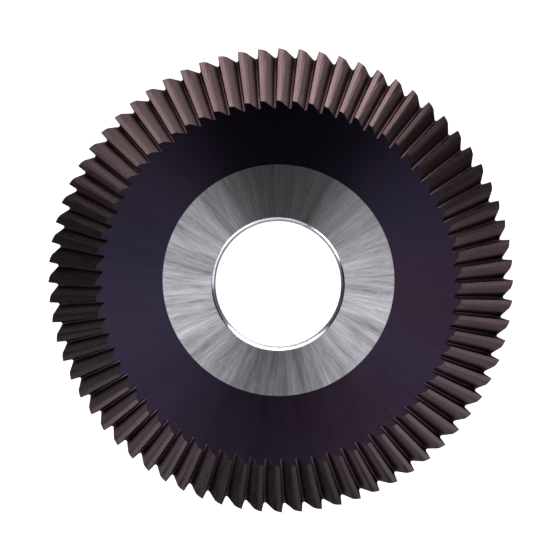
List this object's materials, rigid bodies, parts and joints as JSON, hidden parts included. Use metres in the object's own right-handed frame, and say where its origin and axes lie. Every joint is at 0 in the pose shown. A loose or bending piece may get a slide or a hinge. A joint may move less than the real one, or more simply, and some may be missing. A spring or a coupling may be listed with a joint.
{
  "type": "angle milling cutter",
  "caption": "Thin bevelled disc cutter with fine straight teeth all round its rim and a plain chamfered bore; dark coated steel with a bare ground ring round the bore.",
  "frame": {"origin": "centre of the bore on the large back face, which is also the middle of the bottom of the bounding box", "axes": "+Z along the bore from the back face to the smaller front face; the cutter lies on its back face"},
  "size_m": [0.06, 0.06, 0.006],
  "materials": {
    "coated_steel": "ground high-speed steel under a thin dark violet-brown nitride coating, with a bare ground ring round the bore on each face"
  },
  "bodies": {
    "root": {"cutter_body": "coated_steel"}
  },
  "joints": []
}
